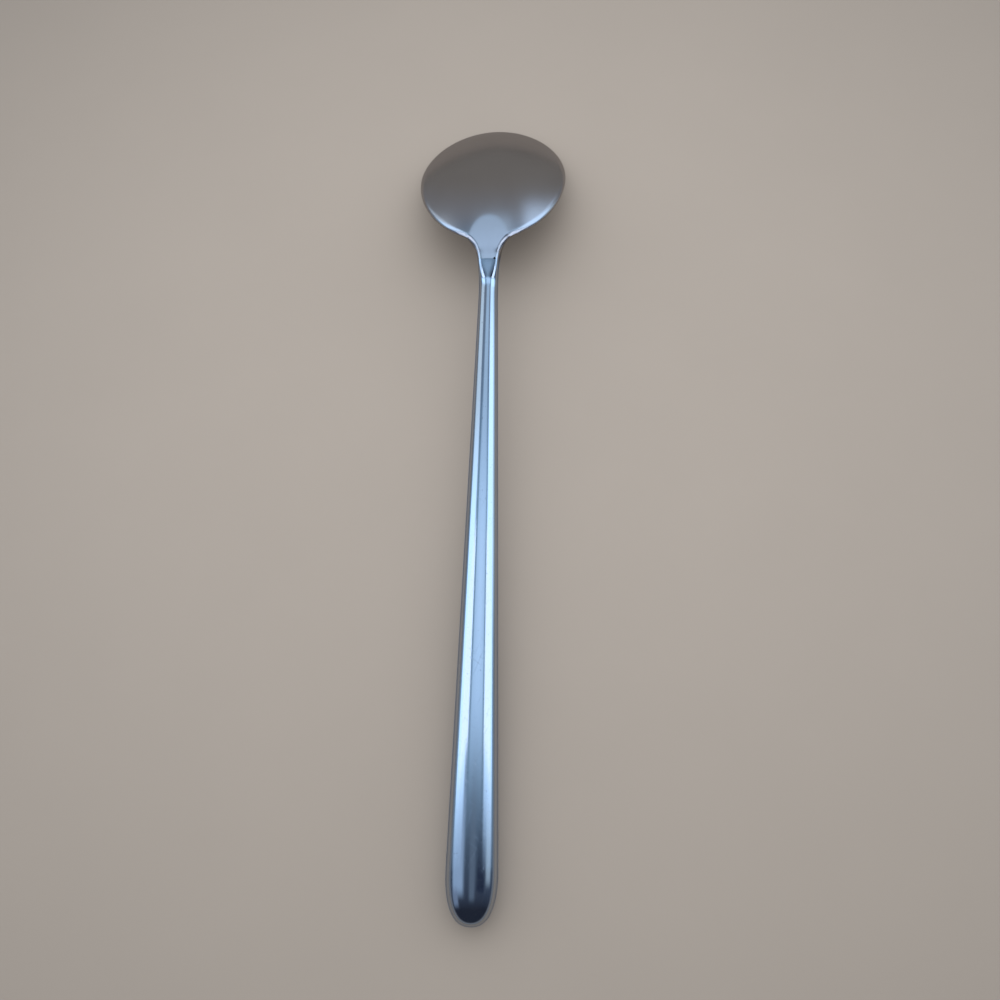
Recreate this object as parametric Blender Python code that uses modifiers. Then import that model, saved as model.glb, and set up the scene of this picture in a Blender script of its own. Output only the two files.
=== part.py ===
"""Table spoon with a pressed bowl and a hollow welded handle, lying face down on its rim tip and handle end.

Stations run along the spoon from the bowl tip, at +Y, to the handle end, at -Y.
"""

import math

import bmesh
import bpy
import numpy as np

# Whole spoon
OVERALL_LENGTH = 0.2187
FIT_GAP = 0.0002
REST_CUT = 0.00015

# Bowl
BOWL_WIDTH = 0.041
BOWL_LENGTH = 0.0506
BOWL_WIDEST = 0.0239
BOWL_DEPTH = 0.0068
BOWL_TILT_DEG = 16.0
BOWL_SHEET = 0.0012
RIM_LAND = 0.0012
TONGUE_REACH = 0.0072
TONGUE_PITCH_DEG = 7.0

# Neck: heel bend, straight stub, weld, steeper run of the handle's mouth, bend into the handle
HEEL_LEAD = 0.0089
HEEL_RADIUS = 0.024
STUB_PITCH_DEG = 11.0
NECK_PITCH_DEG = 15.8
NECK_RUN = 0.0045
NECK_RADIUS = 0.015
NECK_WIDTH = 0.005
NECK_HEIGHT = 0.0045
NECK_FLARE = 0.0026
NECK_STUB = 0.0042
NECK_BEAD = 0.001
TANG_REACH = 0.006

# Handle
HANDLE_WIDTH = 0.0112
HANDLE_RISE = 0.0034
HANDLE_DROP = 0.0051
HANDLE_WALL = 0.0007
HANDLE_END = 0.012
VENT_BORE = 0.0006
VENT_SETBACK = 0.0004
VENT_OFFSET = 0.00175

# Shape of curves: 2 is an ellipse, more is squarer
OUTLINE_POWER = 1.94
END_POWER = 2.4
NECK_POWER = 4.6
FLARE_POWER = 12.0

# Fineness of the meshes
BOWL_STATIONS = 30
BACK_POINTS = 25
FACE_POINTS = 21
RING_POINTS = BACK_POINTS + FACE_POINTS
STUB_STATIONS = 5
TANG_STATIONS = 5
NECK_STATIONS = 8
HANDLE_STATIONS = 16
END_STATIONS = 9
SHELL_POINTS = 19
SEAM_RESOLUTION = 2
VENT_SIDES = 12
SHARP_EDGE_DEG = 40.0

# Places that follow from the sizes
TILT = math.radians(BOWL_TILT_DEG)
TONGUE_PITCH = math.radians(TONGUE_PITCH_DEG)
STUB_PITCH = math.radians(STUB_PITCH_DEG)
PITCH = math.radians(NECK_PITCH_DEG)
TONGUE_START = BOWL_LENGTH - TONGUE_REACH
BEND_START = BOWL_LENGTH - HEEL_LEAD
BEND_START_Z = BEND_START * math.tan(TILT) - REST_CUT
BEND_END = BEND_START + HEEL_RADIUS * (math.sin(TILT) + math.sin(STUB_PITCH))
BEND_END_Z = BEND_START_Z + HEEL_RADIUS * (math.cos(STUB_PITCH) - math.cos(TILT))
WELD = BOWL_LENGTH + NECK_STUB
SHOULDER = WELD - NECK_BEAD / 2 - FIT_GAP
MOUTH = WELD + NECK_BEAD / 2 + FIT_GAP
MOUTH_Z = BEND_END_Z - (MOUTH - BEND_END) * math.tan(STUB_PITCH)
RUN_END = MOUTH + NECK_RUN
RUN_END_Z = MOUTH_Z - NECK_RUN * math.tan(PITCH)
END_START = OVERALL_LENGTH - HANDLE_END
END_START_Z = HANDLE_DROP - REST_CUT
NECK_CENTRE = RUN_END + NECK_RADIUS * math.sin(PITCH)
NECK_CENTRE_Z = RUN_END_Z + NECK_RADIUS * math.cos(PITCH)
AXIS_FALL = math.atan2(NECK_CENTRE_Z - END_START_Z, END_START - NECK_CENTRE) - math.asin(
    NECK_RADIUS / math.hypot(NECK_CENTRE_Z - END_START_Z, END_START - NECK_CENTRE)
)
NECK_END = NECK_CENTRE - NECK_RADIUS * math.sin(AXIS_FALL)
SEAM_HALF_GAP = HANDLE_WALL / 2 + FIT_GAP


def smoothstep(start, end, value):
    share = np.clip((value - start) / (end - start), 0, 1)
    return share * share * (3 - 2 * share)


def slope(station):
    """Slope of the line that level() gives, as an angle."""
    if station < BEND_START:
        return TILT
    if station < BEND_END:
        return math.asin(math.sin(TILT) - (station - BEND_START) / HEEL_RADIUS)
    if station < MOUTH:
        return -STUB_PITCH
    if station < RUN_END:
        return -PITCH
    return -max(math.asin(max(NECK_CENTRE - station, 0) / NECK_RADIUS), AXIS_FALL)


def level(station):
    """Height of the rim along the bowl, and of the middle of the section along the neck and handle."""
    if station < BEND_START:
        return station * math.tan(TILT) - REST_CUT
    if station < BEND_END:
        return BEND_START_Z + HEEL_RADIUS * (math.cos(slope(station)) - math.cos(TILT))
    if station < MOUTH:
        return BEND_END_Z - (station - BEND_END) * math.tan(STUB_PITCH)
    if station < RUN_END:
        return MOUTH_Z - (station - MOUTH) * math.tan(PITCH)
    if station < NECK_END:
        return NECK_CENTRE_Z - NECK_RADIUS * math.cos(slope(station))
    return END_START_Z + (END_START - station) * math.tan(AXIS_FALL)


def oval(station, tip, widest, heel, half_width):
    """Half width of an oval outline, zero outside it."""
    along = (station - widest) / ((widest - tip) if station < widest else (heel - widest))
    return half_width * max(1 - abs(along) ** OUTLINE_POWER, 0) ** (1 / OUTLINE_POWER)


def bowl_half_width(station):
    return oval(station, 0, BOWL_WIDEST, BOWL_LENGTH, BOWL_WIDTH / 2)


def flare_start():
    """Station where the flare of the neck leaves the bowl's oval, tangent to it."""
    low, high = BOWL_WIDEST, BOWL_LENGTH
    step = 1e-6
    for _ in range(60):
        middle = (low + high) / 2
        narrowing = (bowl_half_width(middle - step) - bowl_half_width(middle)) / step
        if narrowing * NECK_FLARE < bowl_half_width(middle) - NECK_WIDTH / 2:
            low = middle
        else:
            high = middle
    return low


FLARE_START = flare_start()


def taper(station, at_neck, at_end):
    share = max(station - NECK_END, 0) / (END_START - NECK_END)
    return at_neck + (at_end - at_neck) * share


def end_round(station):
    """Share of the handle's section that is left in its rounded end."""
    along = max(station - END_START, 0) / HANDLE_END
    return max(1 - along**END_POWER, 0) ** (1 / END_POWER)


def half_width(station):
    if station < FLARE_START:
        return bowl_half_width(station)
    flare = bowl_half_width(FLARE_START) - NECK_WIDTH / 2
    flare *= math.exp((FLARE_START - station) / NECK_FLARE)
    return (taper(station, NECK_WIDTH / 2, HANDLE_WIDTH / 2) + flare) * end_round(station)


def top_height(station):
    """Rise of the neck and handle above their widest line."""
    return taper(station, NECK_HEIGHT / 2, HANDLE_RISE) * end_round(station)


def under_height(station):
    """Drop of the neck and handle below their widest line."""
    return taper(station, NECK_HEIGHT / 2, HANDLE_DROP) * end_round(station)


def along_bowl(station):
    """Share of the way from the bowl's widest place to its tip or heel."""
    reach = BOWL_WIDEST if station < BOWL_WIDEST else BOWL_LENGTH - BOWL_WIDEST
    return abs(station - BOWL_WIDEST) / reach


def dome(station):
    """Rise of the bowl's back on the centre line above the upper edge of the rim."""
    return (BOWL_DEPTH - BOWL_SHEET) * max(1 - along_bowl(station) ** 2, 0)


def rim(station):
    """Rise above level() of the rim's underside, straight even where the middle bends to the neck."""
    return station * math.tan(TILT) - REST_CUT - level(station)


def crown(station):
    """Rise of the back's centre line above level(): the dome, then the tongue that falls to the neck."""
    if station < TONGUE_START:
        return rim(station) + BOWL_SHEET + dome(station)
    reach = RUN_END - TONGUE_START
    share = min((station - TONGUE_START) / reach, 1)
    left = (1 - share) ** 2
    start = rim(TONGUE_START) + BOWL_SHEET + dome(TONGUE_START)
    fall = -math.tan(TONGUE_PITCH) - math.tan(slope(TONGUE_START))
    over_neck = start - top_height(station)
    return top_height(station) + over_neck * left * (1 + 2 * share) + fall * reach * share * left


def neckness(station):
    """Share of the neck in the section: 0 on the bowl, 1 from the shoulder on."""
    return smoothstep(BOWL_LENGTH - NECK_FLARE, SHOULDER, station)


def edge_rise(station):
    """Rise of the underside of the edge above level(): the rim, let down to the middle of the neck."""
    return min(rim(station), crown(station) - BOWL_SHEET) * (1 - neckness(station))


def section_power(station):
    """Squareness of the section: flat on top at the neck, easing to an ellipse along the handle."""
    return NECK_POWER + (2 - NECK_POWER) * smoothstep(MOUTH, RUN_END + NECK_BEAD, station)


def across_section(x, station):
    return np.clip(np.abs(x) / max(half_width(station), 1e-9), 0, 1)


def back(x, station):
    """Rise of the back above level(): a dome with a flat tongue let into it, then the neck's flat top."""
    across = across_section(x, station)
    domed = rim(station) + BOWL_SHEET + dome(station) * (1 - across**2)
    bowl = np.minimum(domed, crown(station))
    power = FLARE_POWER + (NECK_POWER - FLARE_POWER) * neckness(station)
    neck = crown(station) * (1 - across**power) ** (1 / power)
    return bowl + (neck - bowl) * neckness(station)


def hollow_half_width(station):
    return oval(station, RIM_LAND, BOWL_WIDEST, BOWL_LENGTH - RIM_LAND, BOWL_WIDTH / 2 - RIM_LAND)


def face(x, station):
    """Rise of the face above level(): the flat rim land, its hollow and the round under the neck."""
    along = station - BOWL_WIDEST
    reach = BOWL_WIDEST if along < 0 else BOWL_LENGTH - BOWL_WIDEST
    radius = np.hypot(x / (BOWL_WIDTH / 2 - RIM_LAND), along / (reach - RIM_LAND))
    hollow = (BOWL_DEPTH - BOWL_SHEET) * np.clip(1 - radius**2, 0, 1)
    share = neckness(station)
    power = 2 + (NECK_POWER - 2) * share
    edge_power = 1 + (1 / NECK_POWER - 1) * share
    keel = under_height(station) * share * (1 - across_section(x, station) ** power) ** edge_power
    return edge_rise(station) + hollow - keel


def lean(station):
    """Angle from upright of a section: none in the bowl, square to the line of the neck and handle."""
    if station < MOUTH:
        return slope(station) * neckness(station)
    return (slope(station) + STUB_PITCH) * smoothstep(MOUTH, RUN_END, station) - STUB_PITCH


def place(x, station, rise):
    """Points of one section."""
    y = OVERALL_LENGTH / 2 - station + rise * math.sin(lean(station))
    z = level(station) + rise * math.cos(lean(station))
    return np.stack([x, np.broadcast_to(y, x.shape), z], axis=-1)


def cosine_spread(start, end, count):
    """Values that crowd towards both ends."""
    turn = np.linspace(0, math.pi, count)
    return start + (end - start) * (1 - np.cos(turn)) / 2


def rounded(share, power):
    """A sine or cosine bent so that the pair trace a curve of that squareness."""
    return np.sign(share) * np.abs(share) ** (2 / power)


def oval_ring(station, half_x, rise, drop, power=2):
    """A round section, as high above level() as rise and as deep below it as drop."""
    turn = np.linspace(0, 2 * math.pi, RING_POINTS, endpoint=False)
    height = rounded(np.sin(turn), power)
    return place(half_x * rounded(np.cos(turn), power), station, np.where(height > 0, rise, drop) * height)


def skin(mesh, rings, joined=False):
    """Faces between rings of points, ring to ring. Points that coincide become one; the ends are capped."""
    corners = {}

    def corner(point):
        key = tuple(round(float(value), 8) for value in point)
        if key not in corners:
            corners[key] = mesh.verts.new(key)
        return corners[key]

    def add_face(points):
        points = list(dict.fromkeys(points))
        if len(points) > 2:
            mesh.faces.new(points)

    loops = [[corner(point) for point in ring] for ring in rings]
    for loop, following in zip(loops, loops[1:] + loops[:1] if joined else loops[1:]):
        for index in range(len(loop)):
            add_face((loop[index - 1], loop[index], following[index], following[index - 1]))
    if not joined:
        add_face(loops[0][::-1])
        add_face(loops[-1])


def sheet(mesh, rows):
    """An open surface through rows of points, each row an equal count of points."""
    grid = [[mesh.verts.new(tuple(map(float, point))) for point in row] for row in rows]
    for row, following in zip(grid, grid[1:]):
        for index in range(1, len(row)):
            mesh.faces.new((row[index - 1], row[index], following[index], following[index - 1]))
    bmesh.ops.remove_doubles(mesh, verts=mesh.verts, dist=1e-7)


def steel(name, colour, roughness):
    material = bpy.data.materials.new(name)
    material.use_nodes = True
    shader = material.node_tree.nodes["Principled BSDF"]
    shader.inputs["Base Color"].default_value = (*colour, 1)
    shader.inputs["Metallic"].default_value = 1
    shader.inputs["Roughness"].default_value = roughness
    return material


def add_piece(name, mesh, collection, material=None, tidy_normals=True):
    if tidy_normals:
        bmesh.ops.recalc_face_normals(mesh, faces=mesh.faces)
    data = bpy.data.meshes.new(name)
    mesh.to_mesh(data)
    mesh.free()
    data.shade_smooth()
    data.set_sharp_from_angle(angle=math.radians(SHARP_EDGE_DEG))
    piece = bpy.data.objects.new(name, data)
    if material:
        data.materials.append(material)
    collection.objects.link(piece)
    return piece


def add_cutter(name, mesh, collection):
    cutter = add_piece(name, mesh, collection)
    cutter.hide_render = True
    cutter.display_type = "WIRE"
    return cutter


def cut(piece, cutter):
    modifier = piece.modifiers.new(cutter.name, "BOOLEAN")
    modifier.operation = "DIFFERENCE"
    modifier.object = cutter


def bowl_ring(station):
    """Section of bowl or stub: over the back from edge to edge, then under the face, with its rim land."""
    edge = half_width(station)
    back_x = edge * np.cos(np.linspace(0, math.pi, BACK_POINTS))
    hollow = max(hollow_half_width(station), edge * smoothstep(BOWL_LENGTH - RIM_LAND, SHOULDER, station))
    face_x = -hollow * np.cos(np.linspace(0, math.pi, FACE_POINTS)[1:-1])
    face_x = np.concatenate([[-edge], face_x, [edge]])
    over = place(back_x, station, back(back_x, station))
    under = place(face_x, station, face(face_x, station))
    return np.concatenate([over, under])


def tang_ring(station):
    """Section of the tang, which clears the handle's wall where the neck is narrowest."""
    clear = HANDLE_WALL + FIT_GAP
    return oval_ring(station, NECK_WIDTH / 2 - clear, NECK_HEIGHT / 2 - clear, NECK_HEIGHT / 2 - clear)


def make_bowl(collection, table):
    """The pressed bowl with its neck stub and the tang that enters the handle."""
    oval_stations = cosine_spread(0, BOWL_LENGTH, BOWL_STATIONS)
    land_stations = [RIM_LAND, BOWL_LENGTH - RIM_LAND]
    stub_stations = np.linspace(BOWL_LENGTH, SHOULDER, STUB_STATIONS)[1:]
    stations = np.unique(np.concatenate([oval_stations, land_stations, stub_stations]))
    mesh = bmesh.new()
    rings = [bowl_ring(station) for station in stations]
    rings += [tang_ring(station) for station in np.linspace(SHOULDER, NECK_END + TANG_REACH, TANG_STATIONS)]
    skin(mesh, rings)
    bowl = add_piece("bowl", mesh, collection, steel("satin steel", (0.56, 0.55, 0.54), 0.28))
    cut(bowl, table)
    return bowl


def make_neck_weld(collection):
    """The ring of weld between the bowl's stub and the handle's mouth, ground flush."""
    bore_x = NECK_WIDTH / 2 - HANDLE_WALL
    bore_z = NECK_HEIGHT / 2 - HANDLE_WALL
    ends = (WELD - NECK_BEAD / 2, WELD + NECK_BEAD / 2)
    rings = []
    for station in ends:
        outside = (half_width(station), crown(station), under_height(station))
        rings.append(oval_ring(station, *outside, NECK_POWER))
    rings += [oval_ring(station, bore_x, bore_z, bore_z) for station in ends[::-1]]
    mesh = bmesh.new()
    skin(mesh, rings, joined=True)
    return add_piece("neck_weld", mesh, collection, steel("ground weld", (0.6, 0.6, 0.6), 0.3))


def end_shares():
    """Shares of the way along the handle's rounded end, evenly spread over its curve."""
    turn = np.linspace(0, math.pi / 2, END_STATIONS)[1:]
    return np.sin(turn) ** (2 / END_POWER)


def shell_stations():
    neck = np.linspace(MOUTH, NECK_END, NECK_STATIONS)
    run = np.linspace(NECK_END, END_START, HANDLE_STATIONS)[1:]
    return np.concatenate([neck, run, END_START + HANDLE_END * end_shares()])


def shell_row(station, side):
    """Points of one half of the handle's section, from side to side."""
    turn = np.linspace(0, math.pi, SHELL_POINTS)
    height = crown(station) if side > 0 else -under_height(station)
    power = section_power(station)
    x = half_width(station) * rounded(np.cos(turn), power)
    return place(x, station, height * rounded(np.sin(turn), power))


def make_shell(name, side, collection, material):
    """One pressed half of the handle: side is 1 for the half that faces up, -1 for the other."""
    mesh = bmesh.new()
    sheet(mesh, [shell_row(station, side)[::side] for station in shell_stations()])
    shell = add_piece(name, mesh, collection, material, tidy_normals=False)
    wall = shell.modifiers.new("wall", "SOLIDIFY")
    wall.thickness = HANDLE_WALL
    wall.offset = -1
    wall.use_even_offset = True
    return shell


def make_seam_slot(collection):
    """The slot between the two halves that their weld fills."""
    past = HANDLE_WIDTH
    stations = shell_stations()
    between = (stations[:-1] + stations[1:]) / 2
    stations = np.concatenate([[MOUTH - past, MOUTH - FIT_GAP], between, [OVERALL_LENGTH + past]])
    x = np.array([-past, past, past, -past])
    rise = SEAM_HALF_GAP * np.array([1, 1, -1, -1])
    mesh = bmesh.new()
    skin(mesh, [place(x, station, rise) for station in stations])
    return add_cutter("seam_slot", mesh, collection)


def make_seam_weld(collection):
    """The bead that joins the two halves: down one side of the handle, round its end and back."""
    bead = HANDLE_WALL / 2
    route = [(half_width(station) - bead, station) for station in shell_stations() if station <= END_START]
    for share in end_shares():
        inside = (HANDLE_WIDTH / 2 - bead) * end_round(END_START + HANDLE_END * share)
        route.append((inside, END_START + (HANDLE_END - bead) * share))
    route += [(-x, station) for x, station in route[-2::-1]]
    curve = bpy.data.curves.new("seam_weld", "CURVE")
    curve.dimensions = "3D"
    spline = curve.splines.new("POLY")
    spline.points.add(len(route) - 1)
    for point, (x, station) in zip(spline.points, route):
        point.co = (x, OVERALL_LENGTH / 2 - station, level(station), 1)
    curve.bevel_depth = bead
    curve.bevel_resolution = SEAM_RESOLUTION
    curve.use_fill_caps = True
    curve.materials.append(steel("polished weld", (0.6, 0.6, 0.6), 0.2))
    seam = bpy.data.objects.new("seam_weld", curve)
    collection.objects.link(seam)
    return seam


def make_table(collection):
    """The plane that the spoon lies on, as a block that trims the rim tip and the handle end flat."""
    mesh = bmesh.new()
    bmesh.ops.create_cube(mesh, size=1)
    bmesh.ops.scale(mesh, verts=mesh.verts, vec=(BOWL_WIDTH * 2, OVERALL_LENGTH * 2, BOWL_DEPTH * 2))
    bmesh.ops.translate(mesh, verts=mesh.verts, vec=(0, 0, -BOWL_DEPTH))
    return add_cutter("rest_plane", mesh, collection)


def make_vent(collection):
    """The drill for the vent in the handle's back, beside the neck weld."""
    station = MOUTH + VENT_SETBACK
    mesh = bmesh.new()
    radius = VENT_BORE / 2
    bmesh.ops.create_cone(
        mesh, cap_ends=True, segments=VENT_SIDES, radius1=radius, radius2=radius, depth=NECK_HEIGHT
    )
    height = level(station) + NECK_HEIGHT / 2
    bmesh.ops.translate(mesh, verts=mesh.verts, vec=(VENT_OFFSET, OVERALL_LENGTH / 2 - station, height))
    return add_cutter("vent_drill", mesh, collection)


def new_collection(name):
    collection = bpy.data.collections.new(name)
    bpy.context.scene.collection.children.link(collection)
    return collection


def main():
    for thing in list(bpy.data.objects):
        bpy.data.objects.remove(thing, do_unlink=True)
    spoon = new_collection("table spoon")
    cutters = new_collection("cutters")
    table = make_table(cutters)
    slot = make_seam_slot(cutters)
    make_bowl(spoon, table)
    make_neck_weld(spoon)
    back_steel = steel("polished back", (0.62, 0.62, 0.62), 0.12)
    back_shell = make_shell("handle_back_shell", 1, spoon, back_steel)
    cut(back_shell, slot)
    cut(back_shell, make_vent(cutters))
    front_steel = steel("polished front", (0.62, 0.62, 0.62), 0.12)
    front_shell = make_shell("handle_front_shell", -1, spoon, front_steel)
    cut(front_shell, slot)
    cut(front_shell, table)
    make_seam_weld(spoon)


main()
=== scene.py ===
import math
import typing

import bmesh
import bpy
import numpy as np
from mathutils import Matrix, Vector


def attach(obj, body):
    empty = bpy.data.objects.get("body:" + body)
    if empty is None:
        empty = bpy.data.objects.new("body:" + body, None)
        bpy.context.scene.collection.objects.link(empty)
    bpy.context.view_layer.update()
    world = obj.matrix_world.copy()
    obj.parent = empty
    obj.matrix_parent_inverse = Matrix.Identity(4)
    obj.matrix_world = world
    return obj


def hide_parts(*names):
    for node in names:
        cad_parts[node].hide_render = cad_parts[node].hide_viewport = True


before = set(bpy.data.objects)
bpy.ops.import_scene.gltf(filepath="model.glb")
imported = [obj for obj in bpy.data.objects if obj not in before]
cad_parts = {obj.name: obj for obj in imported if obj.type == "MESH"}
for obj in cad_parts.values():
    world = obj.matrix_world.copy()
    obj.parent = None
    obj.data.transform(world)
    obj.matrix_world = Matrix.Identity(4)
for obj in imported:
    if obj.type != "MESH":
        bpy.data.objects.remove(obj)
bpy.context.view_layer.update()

bl_info = {
    "name": "Table Spoon",
    "version": (1, 0, 0),
    "blender": (4, 5, 0),
    "location": "3D View > Sidebar > Spoon",
    "description": "A steel table spoon with a pressed bowl and a hollow handle, face down",
    "category": "Add Mesh",
}


def length(name, description, millimetres):
    return bpy.props.FloatProperty(
        name=name,
        description=description,
        default=millimetres / 1000,
        min=0,
        precision=5,
        unit="LENGTH",
    )


def angle(name, description, degrees):
    return bpy.props.FloatProperty(
        name=name, description=description, default=math.radians(degrees), subtype="ANGLE"
    )


def factor(name, description, value):
    return bpy.props.FloatProperty(
        name=name, description=description, default=value, min=0, max=1, subtype="FACTOR"
    )


def number(name, description, value):
    return bpy.props.FloatProperty(name=name, description=description, default=value, min=0)


def colour(name, description, value):
    return bpy.props.FloatVectorProperty(
        name=name, description=description, default=value, size=3, min=0, max=1, subtype="COLOR"
    )


class SpoonSizes(bpy.types.PropertyGroup):
    """Sizes of the spoon"""

    overall_length: length("Overall length", "From the bowl's tip to the handle's end", 218.7)
    rest_cut: length("Rest cut", "How deep the rim tip and the handle end are worn flat", 0.15)
    bowl_width: length("Bowl width", "Across the bowl at its widest", 40.99)
    bowl_length: length("Bowl length", "From the tip to the heel of the bowl's oval", 50.6)
    bowl_widest: length("Widest place", "From the tip to where the bowl is widest", 23.9)
    bowl_depth: length("Bowl depth", "Crown of the back above the underside of the rim", 6.79)
    bowl_tilt: angle("Bowl tilt", "Rise of the rim from the tip to the heel", 16.0)
    bowl_sheet: length("Bowl sheet", "Thickness of the bowl", 1.2)
    rim_land: length("Rim land", "Width of the flat rim", 1.2)
    rim_round: length("Rim round", "How far in the rim's upper edge is rounded", 1.4)
    flare_round: length("Flare round", "How far in the flare's upper edge falls away", 1.2)
    rim_under: length("Rim underside", "How far in the rim's lower edge is rounded", 0.5)
    tongue_reach: length(
        "Tongue reach", "How far before the heel the neck's flat tongue begins", 7.2
    )
    tongue_pitch: angle("Tongue pitch", "Fall of the tongue where it leaves the dome", 7.0)
    tongue_ease: length("Tongue ease", "Depth over which the tongue's edge is rounded", 0.07)
    heel_lead: length("Heel lead", "How far before the heel the bend begins", 8.9)
    heel_radius: length("Heel radius", "Radius of the bend from the bowl to the neck", 24.0)
    stub_pitch: angle("Stub pitch", "Fall of the bowl's stub to the weld", 11.0)
    neck_pitch: angle("Neck pitch", "Fall of the handle's mouth from the weld", 15.8)
    neck_run: length("Neck run", "Straight length from the weld to the handle's bend", 4.5)
    neck_radius: length("Neck radius", "Radius of the bend from the neck to the handle", 15.0)
    neck_width: length("Neck width", "Across the neck at its narrowest", 5.0)
    neck_height: length("Neck height", "Depth of the neck at its narrowest", 4.5)
    neck_flare: length("Neck flare", "Length over which the neck flares into the bowl", 2.6)
    neck_stub: length("Neck stub", "From the heel to the weld", 4.2)
    neck_bead: length("Neck bead", "Width of the weld round the neck", 1.4)
    tang_reach: length("Tang reach", "How far the tang goes past the neck", 6.0)
    handle_width: length("Handle width", "Across the handle before its end", 11.2)
    handle_rise: length(
        "Handle rise", "Height of the handle above its widest line, before its end", 3.4
    )
    handle_drop: length(
        "Handle drop", "Depth of the handle below its widest line, before its end", 5.1
    )
    handle_wall: length("Handle wall", "Thickness of the handle's shells", 0.7)
    handle_end: length("Handle end", "Length of the rounded end", 12.0)
    seam_gap: length("Hairline", "Width of the hairline beside a weld", 0.006)
    vent_bore: length("Vent bore", "Diameter of the vent hole", 0.6)
    vent_setback: length("Vent setback", "From the handle's mouth to the vent hole", 0.4)
    vent_offset: length("Vent offset", "From the centre line to the vent hole", 1.75)


class SpoonFinish(bpy.types.PropertyGroup):
    """Colours and polish of the spoon's steel"""

    # The handle's steel colour, lowered and given a blue cast so that the floor it reflects comes
    # out darker and bluer: partly the steel's colour, partly painted shade.
    handle_colour_and_shade: colour("Handle steel", "Colour of the polished handle", (0.455, 0.475, 0.5))
    handle_roughness: factor("Handle roughness", "Roughness of the polished handle", 0.1)
    # The dark blue glancing tint is painted shade: it darkens and blues what the handle's edges
    # reflect, as if the floor beside them were shaded.
    handle_shaded_glance: colour(
        "Handle glance", "Tint of the polished handle at a glancing angle", (0.36, 0.48, 0.72)
    )
    bowl_colour: colour("Bowl steel", "Colour of the satin bowl", (0.407, 0.381, 0.375))
    bowl_roughness: factor("Bowl roughness", "Roughness of the satin bowl", 0.22)
    bowl_edge: colour("Bowl glance", "Tint of the satin bowl at a glancing angle", (0.6, 0.6, 0.6))
    neck_weld_colour: colour(
        "Neck weld", "Colour of the weld round the neck", (0.415, 0.394, 0.388)
    )
    seam_weld_colour: colour("Seam weld", "Colour of the weld along the handle", (0.34, 0.36, 0.39))
    # The near-black bore is painted shade: the dark of the small vent hole.
    bore_shade_colour: colour("Vent bore", "Colour of the oxide in the vent hole", (0.02, 0.024, 0.035))
    weld_roughness: factor("Weld roughness", "Roughness of the ground welds", 0.2)


class StudioSettings(bpy.types.PropertyGroup):
    """Floor and light of the studio"""

    floor_colour: colour("Floor", "Colour of the floor", (0.475, 0.434, 0.396))
    # Painted shade: the floor's colour darkens over this distance, away from the spoon.
    floor_shade_reach: length("Floor fade", "Distance over which the floor's colour fades", 400.0)
    near_light: colour("Near light", "Light on the floor from the near side", (0.5, 0.49, 0.48))
    far_light: number(
        "Far light", "Brightness on the floor of the far side against the near side", 2.8
    )
    card_colour: colour(
        "Cards", "Colour of the light of the cards beside the neck", (0.6, 0.75, 1.0)
    )
    card_light: number("Card light", "Brightness of the cards beside the neck", 2.7)
    side_colour: colour(
        "Room's sides", "Colour of the light from the room's walls", (0.27, 0.295, 0.335)
    )


# Light of the room at angles ahead of straight up, in degrees.
ROOM_LIGHT = (
    (-30, (0.025, 0.033, 0.056)),
    (-8, (0.068, 0.1, 0.17)),
    (1, (0.08, 0.124, 0.2)),
    (3.5, (0.2, 0.31, 0.46)),
    (7, (0.3, 0.52, 0.76)),
    (22, (0.27, 0.5, 0.74)),
    (27, (0.2, 0.32, 0.5)),
    (36, (0.3, 0.34, 0.41)),
    (58, (0.282, 0.282, 0.275)),
)


class Panel(typing.NamedTuple):
    """A soft panel of light, between angles aside and ahead of straight up, in degrees."""

    colour: tuple
    aside: tuple
    aside_soft: float
    ahead: tuple
    ahead_soft: float
    slant: float = 0


# Each panel covers the ones before it.
PANELS = (
    Panel((0.46, 0.66, 0.98), (-64, -25), 6, (-13, 6), 6),  # low on the left
    Panel((0.27, 0.37, 0.56), (-68, -45), 4, (-24, -10), 5),  # lowest on the left
    Panel((0.47, 0.63, 0.81), (42, 62), 6, (-6, 6), 4),  # low on the right
    Panel((0.17, 0.24, 0.35), (-8, 7), 4, (-19, 4), 4),  # low in the middle
    Panel((0.025, 0.042, 0.09), (13, 36), 4, (-12, 1.5), 1.5),  # a dark gap right of it
    Panel((0.62, 0.89, 1.23), (-14, 15), 5, (22, 36), 4),  # beyond the middle
    Panel((0.79, 1.16, 1.68), (-20, 21), 3, (6.5, 24), 3.5),  # the middle
    Panel((0.91, 1.32, 1.9), (-9, 12), 8, (10, 19), 4),  # its brightest part
    Panel((0.89, 1.13, 1.39), (-45, -8), 4, (21, 37), 4, 1.0),  # beyond the middle on the left
    Panel((1.4, 2.03, 2.93), (-69, -34), 4, (4, 24), 4),  # left window
    Panel((0.96, 1.32, 1.81), (26, 62), 5, (28, 44), 7),  # beyond the right window
    Panel((0.74, 1.0, 1.23), (60, 82), 6, (16, 34), 4),  # right of the right window
    Panel((1.4, 2.03, 2.93), (28.5, 67), 4, (4.4, 33), 4.5),  # right window
)

# Where the light of the walls begins and is full, by height and by the angle ahead.
WALL_RISE = (0.32, 0.12)
WALL_AHEAD = (60, 40)
# How far towards the near and the far side the plain light on the floor changes.
PLAIN_SPAN = (-0.8, 0.8)

# The cards beside the neck: their width and depth, and where the middle of the right one is.
CARD_SIZE = (0.195, 0.105)
CARD_PLACE = (0.2025, 0.0075, 0.215)

# The floor: half its width, how far it lies under the spoon, and the painted shade that darkens its
# colour away from the spoon.
FLOOR_REACH = 6.0
FLOOR_SINK = 0.00002
SHADE_CENTRE = (0, 0.045, 0)
SHADE_START = 0.02
FLOOR_SHADE = 0.45

# The camera: its place, and how far it looks down, is turned aside and is rolled, in degrees.
CAMERA_PLACE = (0.02287, -0.11038, 0.23016)
CAMERA_DOWN = 66.11
CAMERA_ASIDE = -10.88
CAMERA_ROLL = -10.45
CAMERA_LENS = 36.0

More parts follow.
